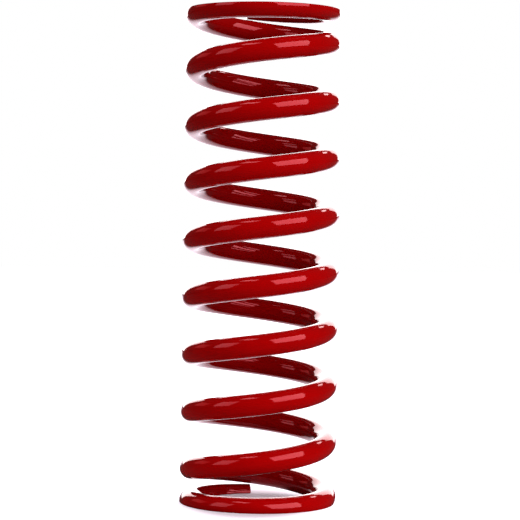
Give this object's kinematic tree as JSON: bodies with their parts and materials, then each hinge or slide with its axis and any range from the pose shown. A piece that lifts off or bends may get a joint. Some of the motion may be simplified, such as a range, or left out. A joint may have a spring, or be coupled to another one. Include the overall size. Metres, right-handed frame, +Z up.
{
  "type": "shock absorber spring",
  "caption": "Right-hand wound round-wire compression coil spring with closed and ground ends, for a telescopic shock absorber, with a gloss red coat.",
  "frame": {"origin": "centre of the lower ground face, on the coil's axis", "axes": "+Z up along the coil's axis; front towards -Y, with both wire tips at the back"},
  "size_m": [0.078, 0.078, 0.245],
  "materials": {
    "red_coat": "gloss"
  },
  "bodies": {
    "root": {"coil_spring": "red_coat"}
  },
  "joints": []
}
